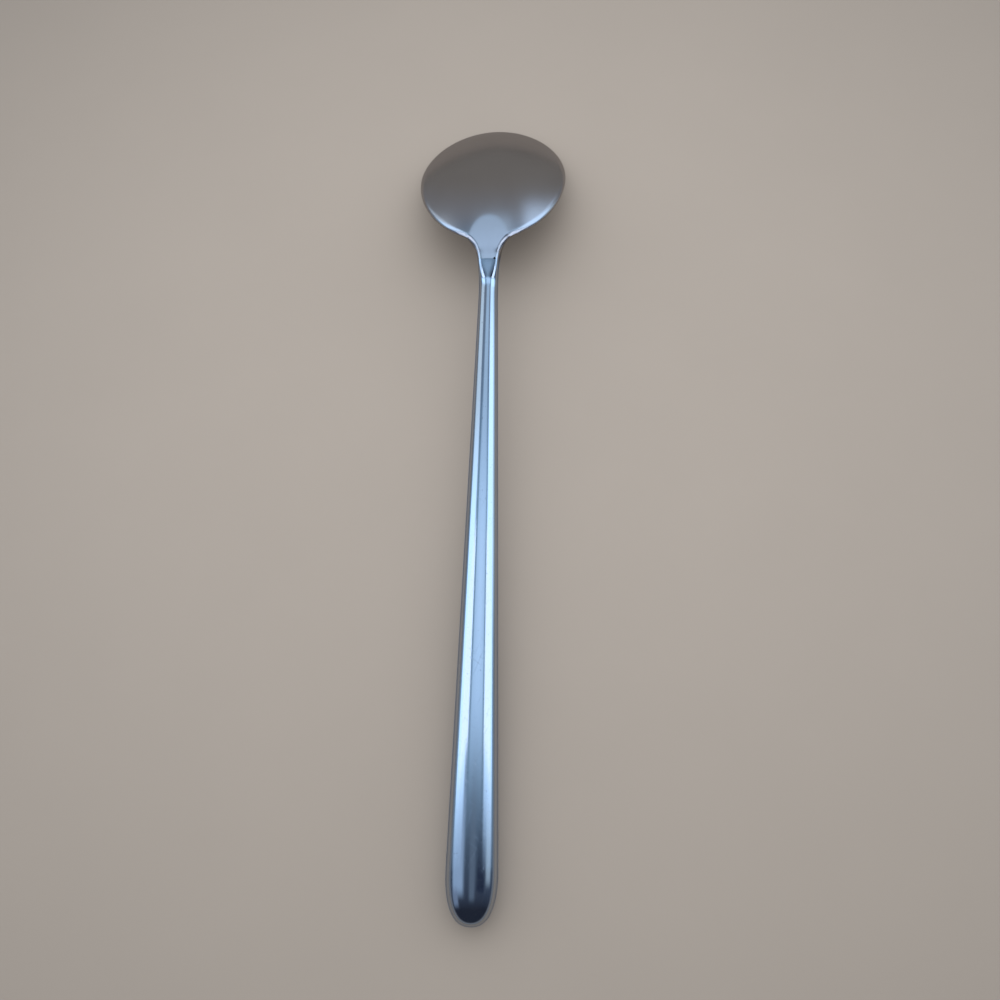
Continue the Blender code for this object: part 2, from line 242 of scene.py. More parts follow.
# Numbers of points in the rows and columns of the meshes.
ACROSS_BOWL = 49
ALONG_TANG = 9
ALONG_TONGUE = 72
ALONG_HEEL = 44
ROUND_TIP = 97
ROUND_WELD = 96
ALONG_WELD = 9
ACROSS_SHELL = 49
ALONG_SHELL = (36, 70)
ALONG_SEAM = (30, 60)
ROUND_END = 40
VENT_SIDES = 28

# Points closer than this are one, and edges sharper than this stay sharp.
MERGE_DISTANCE = 1e-7
SHARP_ANGLE = math.radians(40)

# How far the back comes down at the outline, as a share of the thickness there.
RIM_DROP = 1 / 2
FLARE_DROP = 1 / 3
# Softness of the hollow's edge at the rim's land, as a share of the hollow's depth.
HOLLOW_EASE = 0.08
# Gap between the tang and the handle's shells.
TANG_CLEAR = 0.0002
# The seam weld's section: how far its points rise, as shares of half the wall, and how far in they
# lie, as shares of the wall.
SEAM_RISE = (-1, -0.5, 0, 0.5, 1, 0.9, -0.9)
SEAM_INSET = (0.05, 0.032, 0.026, 0.032, 0.05, 0.9, 0.9)
# Height of the grain in the steels' bump.
BUMP_DEPTH = 0.00001


def blend(first, second, share):
    """The first value at a share of 0, the second at 1."""
    return first + (second - first) * share


def smoothstep(start, end, value):
    """Share that rises smoothly from 0 at start to 1 at end."""
    share = np.clip((value - start) / (end - start), 0, 1)
    return share * share * (3 - 2 * share)


def quarter_round(share):
    """Height of a quarter circle that starts upright at 0 and is level at 1."""
    return np.sqrt(1 - (1 - np.clip(share, 0, 1)) ** 2)


class SpoonForm:
    """Curves of the spoon, at stations in metres from the bowl's tip to the handle's end."""

    OUTLINE_POWER = 1.94
    END_POWER = 2.4
    NECK_POWER = 4.6
    FLARE_POWER = 12.0

    def __init__(self, sizes):
        self.sizes = sizes
        tilt, fall, pitch = sizes.bowl_tilt, sizes.stub_pitch, sizes.neck_pitch
        self.crown = sizes.bowl_depth - sizes.bowl_sheet
        self.tongue_start = sizes.bowl_length - sizes.tongue_reach
        self.bend_start = sizes.bowl_length - sizes.heel_lead
        self.bend_start_z = self.bend_start * math.tan(tilt) - sizes.rest_cut
        self.bend_end = self.bend_start + sizes.heel_radius * (math.sin(tilt) + math.sin(fall))
        self.bend_end_z = self.bend_start_z + sizes.heel_radius * (math.cos(fall) - math.cos(tilt))
        self.weld = sizes.bowl_length + sizes.neck_stub
        self.shoulder = self.weld - sizes.neck_bead / 2
        self.mouth = self.weld + sizes.neck_bead / 2
        self.mouth_z = self.bend_end_z - (self.mouth - self.bend_end) * math.tan(fall)
        self.run_end = self.mouth + sizes.neck_run
        run_end_z = self.mouth_z - sizes.neck_run * math.tan(pitch)
        self.end_start = sizes.overall_length - sizes.handle_end
        self.end_start_z = sizes.handle_drop - sizes.rest_cut
        self.neck_centre = self.run_end + sizes.neck_radius * math.sin(pitch)
        self.neck_centre_z = run_end_z + sizes.neck_radius * math.cos(pitch)
        drop = self.neck_centre_z - self.end_start_z
        along = self.end_start - self.neck_centre
        swing = math.asin(sizes.neck_radius / math.hypot(drop, along))
        self.axis_fall = math.atan2(drop, along) - swing
        self.neck_end = self.neck_centre - sizes.neck_radius * math.sin(self.axis_fall)
        self.flare_start = self.find_flare_start()
        self.flare_width = self.oval(self.flare_start) - sizes.neck_width / 2

    def slope(self, station):
        """Slope of the line that level() gives, as an angle."""
        sizes = self.sizes
        bend = math.sin(sizes.bowl_tilt) - (station - self.bend_start) / sizes.heel_radius
        bend = np.arcsin(np.clip(bend, -1, 1))
        dip = -np.arcsin(np.clip((self.neck_centre - station) / sizes.neck_radius, 0, 1))
        return np.select(
            [
                station < self.bend_start,
                station < self.bend_end,
                station < self.mouth,
                station < self.run_end,
            ],
            [sizes.bowl_tilt, bend, -sizes.stub_pitch, -sizes.neck_pitch],
            np.minimum(dip, -self.axis_fall),
        )

    def level(self, station):
        """Height of the rim along the bowl, and of the middle of the neck and handle."""
        sizes = self.sizes
        slope = self.slope(station)
        return np.select(
            [
                station < self.bend_start,
                station < self.bend_end,
                station < self.mouth,
                station < self.run_end,
                station < self.neck_end,
            ],
            [
                station * math.tan(sizes.bowl_tilt) - sizes.rest_cut,
                self.bend_start_z + sizes.heel_radius * (np.cos(slope) - math.cos(sizes.bowl_tilt)),
                self.bend_end_z - (station - self.bend_end) * math.tan(sizes.stub_pitch),
                self.mouth_z - (station - self.mouth) * math.tan(sizes.neck_pitch),
                self.neck_centre_z - sizes.neck_radius * np.cos(slope),
            ],
            self.end_start_z + (self.end_start - station) * math.tan(self.axis_fall),
        )

    def bowl_reach(self, station):
        """Distance from the widest place to the tip, or to the heel."""
        widest = self.sizes.bowl_widest
        return np.where(station < widest, widest, self.sizes.bowl_length - widest)

    def bowl_share(self, station):
        """Share of the way from the widest place to the tip or the heel."""
        return np.abs(station - self.sizes.bowl_widest) / self.bowl_reach(station)

    def oval(self, station):
        """Half width of the bowl's oval."""
        left = np.clip(1 - self.bowl_share(station) ** self.OUTLINE_POWER, 0, 1)
        return self.sizes.bowl_width / 2 * left ** (1 / self.OUTLINE_POWER)

    def find_flare_start(self):
        """Station where the flare of the neck leaves the bowl's oval, tangent to it."""
        low, high = self.sizes.bowl_widest, self.sizes.bowl_length
        step, halvings = 1e-6, 60
        for _ in range(halvings):
            middle = (low + high) / 2
            narrowing = (self.oval(middle - step) - self.oval(middle)) / step
            if narrowing * self.sizes.neck_flare < self.oval(middle) - self.sizes.neck_width / 2:
                low = middle
            else:
                high = middle
        return low

    def taper(self, station, at_neck, at_end):
        """A size that changes evenly from the neck to where the handle's end begins."""
        share = np.maximum(station - self.neck_end, 0) / (self.end_start - self.neck_end)
        return blend(at_neck, at_end, share)

    def end_round(self, station):
        """Share of the handle's section that is left in its rounded end."""
        along = np.clip((station - self.end_start) / self.sizes.handle_end, 0, 1)
        return (1 - along**self.END_POWER) ** (1 / self.END_POWER)

    def half_width(self, station):
        """Half width of the whole outline."""
        sizes = self.sizes
        past_flare = np.maximum(station - self.flare_start, 0)
        flare = self.flare_width * np.exp(-past_flare / sizes.neck_flare)
        neck = self.taper(station, sizes.neck_width / 2, sizes.handle_width / 2) + flare
        neck = neck * self.end_round(station)
        return np.where(station < self.flare_start, self.oval(station), neck)

    def top_height(self, station):
        """Rise of the neck and handle above their widest line."""
        sizes = self.sizes
        height = self.taper(station, sizes.neck_height / 2, sizes.handle_rise)
        return height * self.end_round(station)

    def under_height(self, station):
        """Drop of the neck and handle below their widest line."""
        sizes = self.sizes
        height = self.taper(station, sizes.neck_height / 2, sizes.handle_drop)
        return height * self.end_round(station)

    def dome(self, station):
        """Rise of the bowl's back on the centre line above the upper edge of the rim."""
        return self.crown * np.clip(1 - self.bowl_share(station) ** 2, 0, 1)

    def rim(self, station):
        """Rise above level() of the rim's underside, which runs straight on to the heel."""
        return station * math.tan(self.sizes.bowl_tilt) - self.sizes.rest_cut - self.level(station)

    def tongue(self, station):
        """Rise above level() of the flat tongue, which falls from the dome to the neck's top."""
        sizes = self.sizes
        start = self.tongue_start
        reach = self.run_end - start
        share = np.clip((station - start) / reach, 0, 1)
        left = (1 - share) ** 2
        top = self.rim(start) + sizes.bowl_sheet + self.dome(start)
        fall = -math.tan(sizes.tongue_pitch) - np.tan(self.slope(start))
        height = self.top_height(station)
        eased = height + (top - height) * left * (1 + 2 * share) + fall * reach * share * left
        straight = top + self.level(start) - self.level(station)
        straight = straight + (start - station) * math.tan(sizes.tongue_pitch)
        return np.where(station < start, straight, eased)

    def neckness(self, station):
        """Share of the neck in the section: 0 on the bowl, 1 from the shoulder on."""
        return smoothstep(self.sizes.bowl_length - self.sizes.neck_flare, self.shoulder, station)

    def edge_rise(self, station):
        """Rise above level() of the edge's underside: the rim, let down to the neck's middle."""
        lowest = np.minimum(self.rim(station), self.tongue(station) - self.sizes.bowl_sheet)
        return lowest * (1 - self.neckness(station))

    def section_power(self, station):
        """Squareness of the section: flat on top at the neck, an ellipse along the handle."""
        ease = smoothstep(self.mouth, self.run_end + self.sizes.neck_bead, station)
        return blend(self.NECK_POWER, 2, ease)

    def section(self, station, turn):
        """Points round a unit section, as sideways and upward shares."""
        power = self.section_power(station)
        size = (np.abs(np.cos(turn)) ** power + np.abs(np.sin(turn)) ** power) ** (-1 / power)
        return size * np.cos(turn), size * np.sin(turn)

    def lean(self, station):
        """Angle of a section from upright: none in the bowl, square to the neck and handle."""
        pitch = self.sizes.stub_pitch
        share = smoothstep(self.mouth, self.run_end, station)
        turned = (self.slope(station) + pitch) * share - pitch
        return np.where(station < self.mouth, self.slope(station) * self.neckness(station), turned)

    def place(self, x, station, rise):
        """Points that rise from level() in their leaning sections."""
        x, station, rise = np.broadcast_arrays(x, station, rise)
        lean = self.lean(station)
        y = self.sizes.overall_length / 2 - station + rise * np.sin(lean)
        z = np.maximum(self.level(station) + rise * np.cos(lean), 0)
        return np.stack([x, y, z], axis=-1)

    def handle_stations(self, along_neck, along_handle):
        """Stations from the handle's mouth to its end, evenly spread over the end's curve."""
        turn = np.linspace(0, math.pi / 2, ROUND_END)[1:]
        return np.concatenate(
            [
                np.linspace(self.mouth, self.neck_end, along_neck),
                np.linspace(self.neck_end, self.end_start, along_handle)[1:],
                self.end_start + self.sizes.handle_end * np.sin(turn) ** (2 / self.END_POWER),
            ]
        )


def bowl_surfaces(form):
    """Points over the back and under the face of the bowl, its stub and its tang.

    Rows run from the tang's end up one side of the spoon, round the tip and down the other side.
    Columns run from the centre line to the rim.
    """
    sizes = form.sizes
    share = np.sin(np.linspace(0, math.pi / 2, ACROSS_BOWL))[None, :]
    round_share = np.sqrt(1 - share**2)

    clear = sizes.handle_wall + TANG_CLEAR
    stub_end = form.shoulder - sizes.seam_gap
    tang = np.linspace(form.neck_end + sizes.tang_reach, stub_end, ALONG_TANG)
    tang = np.concatenate([tang[:1], tang])[:, None]
    open_share = np.where(np.arange(len(tang)) == 0, 0, 1)[:, None]
    tang_x = open_share * (sizes.neck_width / 2 - clear) * share
    tang_rise = open_share * (sizes.neck_height / 2 - clear) * round_share

    rear = np.concatenate(
        [
            np.linspace(stub_end, form.tongue_start, ALONG_TONGUE),
            np.linspace(form.tongue_start, sizes.bowl_widest, ALONG_HEEL)[1:],
        ]
    )[:, None]
    edge = form.half_width(rear)
    narrowing = np.gradient(edge[:, 0], rear[:, 0])[:, None]
    rear_x = edge * share
    neckness = form.neckness(rear)
    tongue = form.tongue(rear)
    domed = form.rim(rear) + sizes.bowl_sheet + form.dome(rear) * (1 - share**2)
    pressed = soft_lower(domed, tongue, sizes.tongue_ease)
    power = blend(form.FLARE_POWER, form.NECK_POWER, neckness)
    flat_top = tongue * (1 - share**power) ** (1 / power)
    power = blend(2, form.NECK_POWER, neckness)
    edge_power = blend(1, 1 / form.NECK_POWER, neckness)
    keel = form.under_height(rear) * neckness * (1 - share**power) ** edge_power
    under = form.edge_rise(rear)
    necked = smoothstep(form.shoulder - sizes.neck_stub / 2, form.shoulder, rear)
    rear_back = blend(pressed, flat_top, necked)
    rear_face = under + hollow(form, rear_x, rear) - keel
    inset = (1 - share) * edge / np.hypot(1, narrowing)
    flared = smoothstep(form.flare_start - sizes.rim_round, form.flare_start, rear)
    rear_back, rear_face = rounded_edge(sizes, flared, inset, rear_back, rear_face)

    turn = np.linspace(0, math.pi, ROUND_TIP)[1:-1, None]
    power = 2 / form.OUTLINE_POWER
    across = np.cos(turn)
    tip_x = sizes.bowl_width / 2 * np.sign(across) * np.abs(across) ** power * share
    tip = sizes.bowl_widest - sizes.bowl_widest * np.sin(turn) ** power * share
    inset = (1 - share) * np.hypot(tip_x[:, -1:], sizes.bowl_widest - tip[:, -1:])
    tip_back = sizes.bowl_sheet + form.crown * (1 - share**2)
    tip_back, tip_face = rounded_edge(sizes, 0, inset, tip_back, hollow(form, tip_x, tip))

    def joined(tang_part, rear_part, tip_part, mirror):
        tang_side = np.broadcast_to(tang_part, tang_x.shape)
        side = np.concatenate([tang_side, np.broadcast_to(rear_part, rear_x.shape)])
        return np.concatenate([side, np.broadcast_to(tip_part, tip_x.shape), mirror * side[::-1]])

    x = joined(tang_x, rear_x, tip_x, -1)
    station = joined(tang, rear, tip, 1)
    back = form.place(x, station, joined(tang_rise, rear_back, tip_back, 1))
    face = form.place(x, station, joined(-tang_rise, rear_face, tip_face, 1))
    return back, face


def soft_lower(first, second, ease):
    """The lower of two heights, with the crease between them rounded."""
    share = np.clip(0.5 + (second - first) / (2 * ease), 0, 1)
    return blend(second, first, share) - ease * share * (1 - share)


def rounded_edge(sizes, flared, inset, back, face):
    """The heights of the back and the face, drawn together at the outline.

    The bowl's rim gets a round edge. As flared goes to 1, the back falls away in a slope and the
    face is tucked under.
    """
    thick = back[:, -1:] - face[:, -1:]
    drop = thick * blend(RIM_DROP, FLARE_DROP, flared)
    share = np.clip(inset / blend(sizes.rim_round, sizes.flare_round, flared), 0, 1)
    fall = blend(1 - quarter_round(share), (1 - share) ** 2, flared)
    lowered = back - drop * fall
    raised = face + (thick - drop) * (1 - quarter_round(inset / sizes.rim_under))
    return lowered, raised


def hollow(form, x, station):
    """Rise of the bowl's inside above its rim, with a soft edge at the land."""
    sizes = form.sizes
    across = x / (sizes.bowl_width / 2 - sizes.rim_land)
    along = (station - sizes.bowl_widest) / (form.bowl_reach(station) - sizes.rim_land)
    inside = 1 - across**2 - along**2
    eased = np.clip(inside + HOLLOW_EASE, 0, 2 * HOLLOW_EASE) ** 2 / (4 * HOLLOW_EASE)
    return form.crown * np.where(inside > HOLLOW_EASE, inside, eased)


def add_grid(mesh, points, closed=False):
    """Quads between rows of points. closed joins each row's last point to its first."""
    rows = [[mesh.verts.new(point) for point in row] for row in points.tolist()]
    for row, following in zip(rows, rows[1:]):
        for index in range(0 if closed else 1, len(row)):
            mesh.faces.new((row[index - 1], row[index], following[index], following[index - 1]))
    return rows


def make_object(name, mesh, material):
    """A smooth object of that mesh, without doubled points."""
    bmesh.ops.remove_doubles(mesh, verts=mesh.verts, dist=MERGE_DISTANCE)
    data = bpy.data.meshes.new(name)
    mesh.to_mesh(data)
    mesh.free()
    data.materials.append(material)
    data.shade_smooth()
    data.set_sharp_from_angle(angle=SHARP_ANGLE)
    made = bpy.data.objects.new(name, data)
    bpy.context.scene.collection.objects.link(made)
    return made


def settle(made, node):
    """Puts a finished piece in the place of its solid."""
    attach(made, "root")
    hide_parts(node)


class Signal:
    """A value from one of a material's nodes, for use in sums."""

    def __init__(self, nodes, socket):
        self.nodes = nodes
        self.socket = socket

    def sum(self, operation, first, second):
        return self.nodes.add("ShaderNodeMath", {"operation": operation}, {0: first, 1: second})

    def __add__(self, other):
        return self.sum("ADD", self, other)

    __radd__ = __add__

    def __sub__(self, other):
        return self.sum("SUBTRACT", self, other)

    def __rsub__(self, other):
        return self.sum("SUBTRACT", other, self)

    def __mul__(self, other):
        return self.sum("MULTIPLY", self, other)

    __rmul__ = __mul__


class Nodes:
    """The nodes of one material or world."""

    def __init__(self, tree):
        self.tree = tree

    def add(self, kind, settings=None, sockets=None, output=0):
        """A node of that kind, with its settings made first and then its sockets set or linked."""
        node = self.tree.nodes.new(kind)
        for name, value in (settings or {}).items():
            if name == "stops":
                elements = node.color_ramp.elements
                while len(elements) < len(value):
                    elements.new(1.0)
                for element, (position, shade) in zip(elements, value):
                    element.position = position
                    element.color = shade
            else:
                setattr(node, name, value)
        for key, value in (sockets or {}).items():
            self.feed(node.inputs[key], value)
        return Signal(self, node.outputs[output])

    def feed(self, socket, value):
        """Sets a socket, or links it to a signal."""
        if isinstance(value, Signal):
            self.tree.links.new(value.socket, socket)
        else:
            socket.default_value = value

    def noise(self, vector, scale, detail=3.0, roughness=0.55):
        """Noise whose grain is scale to the metre along X, Y and Z."""
        stretched = self.add("ShaderNodeMapping", None, {"Vector": vector, "Scale": scale})
        sockets = {"Vector": stretched, "Scale": 1.0, "Detail": detail, "Roughness": roughness}
        return self.add("ShaderNodeTexNoise", None, sockets, "Fac")

    def streaks(self, vector, turn, scale, start, end):
        """Sparse thin lines along Y, turned about Z."""
        turned = self.add("ShaderNodeMapping", None, {"Vector": vector, "Rotation": (0, 0, turn)})
        grain = self.noise(turned, scale, 1.0)
        return self.between(grain, start, end)

    def between(self, value, start, end):
        """Share that rises smoothly from 0 at start to 1 at end."""
        return self.share(value, start, end, "SMOOTHSTEP")

    def band(self, value, limits, soft):
        """Share that is 1 between two limits and falls off softly outside them."""
        start, end = limits
        rising = self.between(value, start - soft, start + soft)
        return rising * self.between(value, end + soft, end - soft)

    def degrees(self, value):
        """An angle, from radians."""
        return self.add("ShaderNodeMath", {"operation": "DEGREES"}, {0: value})

    def ramp(self, value, stops):
        """Colour that runs through stops, which are pairs of a value and a colour."""
        start, end = stops[0][0], stops[-1][0]
        placed = [((at - start) / (end - start), rgba(shade)) for at, shade in stops]
        share = self.share(value, start, end)
        return self.add("ShaderNodeValToRGB", {"stops": placed}, {"Fac": share})

    def share(self, value, start, end, interpolation="LINEAR"):
        """Share of the way that a value is from start to end."""
        sockets = {"Value": value, "From Min": start, "From Max": end}
        return self.add("ShaderNodeMapRange", {"interpolation_type": interpolation}, sockets)

    def mix(self, share, first, second):
        """Colour between two colours."""
        return self.add("ShaderNodeMix", {"data_type": "RGBA"}, {0: share, 6: first, 7: second}, 2)


class SteelFinish(Nodes):
    """A steel material with its principled shader, whose glance is its tint at a glancing angle."""

    def __init__(self, name, glance=(1.0, 1.0, 1.0)):
        self.material = bpy.data.materials.new(name)
        self.material.use_nodes = True
        super().__init__(self.material.node_tree)
        self.shader = self.tree.nodes["Principled BSDF"]
        self.shader.inputs["Metallic"].default_value = 1.0
        self.shader.inputs["Specular Tint"].default_value = rgba(glance)
        self.place = self.add("ShaderNodeTexCoord", None, None, "Object")

    def set(self, colour, roughness, grain, strength):
        """Feeds the shader with a colour, a roughness and a bump of that grain."""
        sockets = {"Strength": strength, "Distance": BUMP_DEPTH, "Height": grain}
        bump = self.add("ShaderNodeBump", None, sockets)
        self.feed(self.shader.inputs["Base Color"], colour)
        self.feed(self.shader.inputs["Roughness"], roughness)
        self.feed(self.shader.inputs["Normal"], bump)
        return self.material


def rgba(values):
    """An opaque colour."""
    return (*values, 1.0)


def darker(values, share):
    """That share of a colour."""
    return tuple(value * share for value in values)


def polished_steel(name, finish):
    """Mirror polish with faint smudges, lengthwise polishing grain, stray scratches and specks."""
    # The glancing tint paints shade into the reflections at the handle's edges.
    steel = SteelFinish(name, finish.handle_shaded_glance)
    smudge = steel.noise(steel.place, scale=(70, 45, 70), detail=4.0, roughness=0.6)
    grain = steel.noise(steel.place, scale=(2600, 40, 2600), detail=2.0)
    scratch = steel.streaks(steel.place, turn=0.35, scale=(3200, 90, 3200), start=0.66, end=0.7)
    cross = steel.streaks(steel.place, turn=-0.9, scale=(2800, 110, 2800), start=0.68, end=0.71)
    marks = scratch + cross
    clean = finish.handle_colour_and_shade
    tone = steel.mix(smudge, rgba(darker(clean, 0.9)), rgba(darker(clean, 1.06)))
    specks = steel.noise(steel.place, scale=(1500, 1100, 1500), detail=1.0)
    specks = steel.between(specks, start=0.72, end=0.76)
    tone = steel.mix(specks * 0.5, tone, rgba(darker(clean, 0.6)))
    roughness = finish.handle_roughness - 0.04 + smudge * 0.06 + grain * 0.03 + marks * 0.08
    return steel.set(tone, roughness, grain + marks * -0.5, strength=0.06)


def satin_steel(name, finish):
    """Satin finish with fine lengthwise brushing and uneven wear."""
    steel = SteelFinish(name, finish.bowl_edge)
    wear = steel.noise(steel.place, scale=(90, 70, 90), detail=4.0, roughness=0.6)
    brushing = steel.noise(steel.place, scale=(2200, 60, 2200), detail=3.0)
    plain = finish.bowl_colour
    tone = steel.mix(wear, rgba(darker(plain, 0.94)), rgba(darker(plain, 1.05)))
    roughness = finish.bowl_roughness - 0.06 + wear * 0.06 + brushing * 0.06
    return steel.set(tone, roughness, brushing, strength=0.08)


def ground_steel(name, finish, plain):
    """A weld that was ground flush and polished, with strokes along it."""
    # The weld shares the handle's glancing tint, which paints shade into its reflections.
    steel = SteelFinish(name, finish.handle_shaded_glance)
    strokes = steel.noise(steel.place, scale=(3000, 120, 3000), detail=3.0)
    mottle = steel.noise(steel.place, scale=(700, 700, 700), detail=3.0)
    tone = steel.mix(mottle, rgba(darker(plain, 0.9)), rgba(darker(plain, 1.04)))
    roughness = finish.weld_roughness - 0.06 + strokes * 0.08 + mottle * 0.05
    return steel.set(tone, roughness, strokes + mottle, strength=0.1)


def shaded_bore_steel(name, finish):
    """The bare wall of a drilled hole, painted near black as the shade in the hole."""
    steel = SteelFinish(name)
    bore_mottle = steel.noise(steel.place, scale=(4000, 4000, 4000), detail=2.0)
    # Near black: painted shade in the hole.
    dark = finish.bore_shade_colour
    tone = steel.mix(bore_mottle, rgba(darker(dark, 0.7)), rgba(darker(dark, 1.3)))
    return steel.set(tone, 0.5 + bore_mottle * 0.2, bore_mottle, strength=0.1)


class SPOON_OT_bowl(bpy.types.Operator):
    """Makes the pressed bowl with its neck stub and tang"""

    bl_idname = "spoon.bowl"
    bl_label = "Bowl"

    def execute(self, context):
        form = SpoonForm(context.scene.spoon_sizes)
        back, face = bowl_surfaces(form)
        mesh = bmesh.new()
        add_grid(mesh, back)
        add_grid(mesh, face[:, ::-1])
        steel = satin_steel("satin steel", context.scene.spoon_finish)
        made = make_object("bowl_pressing", mesh, steel)
        settle(made, "bowl")
        return {"FINISHED"}


class SPOON_OT_neck_weld(bpy.types.Operator):
    """Makes the ring of weld between the bowl's stub and the handle's mouth"""

    bl_idname = "spoon.neck_weld"
    bl_label = "Neck weld"

    def execute(self, context):
        sizes = context.scene.spoon_sizes
        form = SpoonForm(sizes)
        turn = np.linspace(0, 2 * math.pi, ROUND_WELD, endpoint=False)[None, :]
        station = np.linspace(form.shoulder, form.mouth - sizes.seam_gap, ALONG_WELD)[:, None]
        across, height = form.section(station, turn)
        rise = np.where(height > 0, form.tongue(station), form.under_height(station)) * height
        outside = form.place(form.half_width(station) * across, station, rise)
        bore_x = sizes.neck_width / 2 - sizes.handle_wall
        bore_z = sizes.neck_height / 2 - sizes.handle_wall
        inside = form.place(bore_x * np.cos(turn), station[::-4], bore_z * np.sin(turn))
        mesh = bmesh.new()
        add_grid(mesh, np.concatenate([outside, inside, outside[:1]]), closed=True)
        finish = context.scene.spoon_finish
        steel = ground_steel("neck weld", finish, finish.neck_weld_colour)
        made = make_object("neck_weld_bead", mesh, steel)
        drill(made, form, shaded_bore_steel("drilled weld", finish))
        settle(made, "neck_weld")
        return {"FINISHED"}


def shell_points(form, side):
    """Points over one half of the handle, clear of the seam's weld."""
    sizes = form.sizes
    seam = sizes.handle_wall / 2 + sizes.seam_gap
    stations = form.handle_stations(*ALONG_SHELL)
    heights = form.tongue(stations) if side > 0 else form.under_height(stations)
    last = np.interp(-seam, -heights[-ROUND_END:], stations[-ROUND_END:])
    stations = np.append(stations[heights > seam], last)[:, None]
    height = form.tongue(stations) if side > 0 else form.under_height(stations)
    power = form.section_power(stations)
    share = np.clip(seam / height, 0, 1)
    start = np.arctan2(share, (1 - share**power) ** (1 / power))
    turn = start + (math.pi - 2 * start) * np.linspace(0, 1, ACROSS_SHELL)[None, :]
    across, up = form.section(stations, turn)
    return form.place(form.half_width(stations) * across, stations, side * height * up)


def thicken(made, wall):
    """Gives an open sheet its wall, inwards."""
    solid = made.modifiers.new("wall", "SOLIDIFY")
    solid.thickness = wall
    solid.offset = -1
    solid.use_even_offset = True


def drill(made, form, bore_steel):
    """Cuts the vent hole, which is partly in the neck weld and partly in the handle's mouth."""
    sizes = form.sizes
    station = np.array(form.mouth + sizes.vent_setback)
    mesh = bmesh.new()
    bmesh.ops.create_cone(
        mesh,
        cap_ends=True,
        segments=VENT_SIDES,
        radius1=sizes.vent_bore / 2,
        radius2=sizes.vent_bore / 2,
        depth=sizes.neck_height,
    )
    height = float(form.level(station)) + sizes.neck_height / 2
    centre = (sizes.vent_offset, sizes.overall_length / 2 - float(station), height)
    bmesh.ops.translate(mesh, verts=mesh.verts, vec=centre)
    bit = make_object("vent_bit", mesh, bore_steel)
    cut = made.modifiers.new("vent", "BOOLEAN")
    cut.operation = "DIFFERENCE"
    cut.material_mode = "TRANSFER"
    cut.object = bit
    depsgraph = bpy.context.evaluated_depsgraph_get()
    whole = bpy.data.meshes.new_from_object(made.evaluated_get(depsgraph))
    made.modifiers.clear()
    made.data = whole
    whole.set_sharp_from_angle(angle=SHARP_ANGLE)
    bpy.data.objects.remove(bit, do_unlink=True)


class SPOON_OT_handle(bpy.types.Operator):
    """Makes the two pressed halves of the hollow handle"""

    bl_idname = "spoon.handle"
    bl_label = "Handle halves"

    def execute(self, context):
        form = SpoonForm(context.scene.spoon_sizes)
        finish = context.scene.spoon_finish
        steel = polished_steel("polished steel", finish)
        for name, node, side in (
            ("handle_back_half", "handle_back_shell", 1),
            ("handle_front_half", "handle_front_shell", -1),
        ):
            mesh = bmesh.new()
            add_grid(mesh, shell_points(form, side)[:, ::side])
            made = make_object(name, mesh, steel)
            thicken(made, form.sizes.handle_wall)
            if side > 0:
                drill(made, form, shaded_bore_steel("drilled steel", finish))
            settle(made, node)
        return {"FINISHED"}


class SPOON_OT_seam_weld(bpy.types.Operator):
    """Makes the weld that joins the handle's halves along both sides and round the end"""

    bl_idname = "spoon.seam_weld"
    bl_label = "Seam weld"

    def execute(self, context):
        sizes = context.scene.spoon_sizes
        form = SpoonForm(sizes)
        stations = form.handle_stations(*ALONG_SEAM)
        width = form.half_width(stations)
        x = np.concatenate([width, -width[-2::-1]])
        station = np.concatenate([stations, stations[-2::-1]])
        along_x, along_s = np.gradient(x), np.gradient(station)
        pace = np.hypot(along_x, along_s)
        out_x, out_s = along_s / pace, -along_x / pace
        rise = sizes.handle_wall / 2 * np.array(SEAM_RISE)
        inset = sizes.handle_wall * np.array(SEAM_INSET)
        ring_x = x[:, None] - out_x[:, None] * inset[None, :]
        ring_s = station[:, None] - out_s[:, None] * inset[None, :]
        points = form.place(ring_x, ring_s, np.broadcast_to(rise[None, :], ring_x.shape))
        mesh = bmesh.new()
        rows = add_grid(mesh, points, closed=True)
        mesh.faces.new(rows[0])
        mesh.faces.new(rows[-1][::-1])
        bmesh.ops.recalc_face_normals(mesh, faces=mesh.faces)
        finish = context.scene.spoon_finish
        steel = ground_steel("seam weld", finish, finish.seam_weld_colour)
        made = make_object("seam_weld_bead", mesh, steel)
        settle(made, "seam_weld")
        return {"FINISHED"}


def add_floor(settings):
    """A pale floor with painted shade, which gets darker away from the spoon."""
    mesh = bmesh.new()
    bmesh.ops.create_grid(mesh, x_segments=2, y_segments=2, size=FLOOR_REACH)
    bmesh.ops.translate(mesh, verts=mesh.verts, vec=(0, 0, -FLOOR_SINK))
    material = bpy.data.materials.new("floor")
    material.use_nodes = True
    nodes = Nodes(material.node_tree)
    place = nodes.add("ShaderNodeTexCoord", None, None, "Object")
    mottle = nodes.noise(place, scale=(25, 25, 25), detail=5.0, roughness=0.6)
    ends = {0: place, 1: SHADE_CENTRE}
    away = nodes.add("ShaderNodeVectorMath", {"operation": "DISTANCE"}, ends, "Value")
    plain = settings.floor_colour
    tone = nodes.mix(mottle, rgba(darker(plain, 0.97)), rgba(darker(plain, 1.03)))
    # Painted shade: the floor's colour darkens with distance from the spoon.
    fade = nodes.between(away, SHADE_START, settings.floor_shade_reach)
    tone = nodes.mix(fade, tone, rgba(darker(plain, FLOOR_SHADE)))
    shader = material.node_tree.nodes["Principled BSDF"]
    nodes.feed(shader.inputs["Base Color"], tone)
    shader.inputs["Roughness"].default_value = 0.7
    shader.inputs["Specular IOR Level"].default_value = 0.2
    floor = make_object("floor", mesh, material)


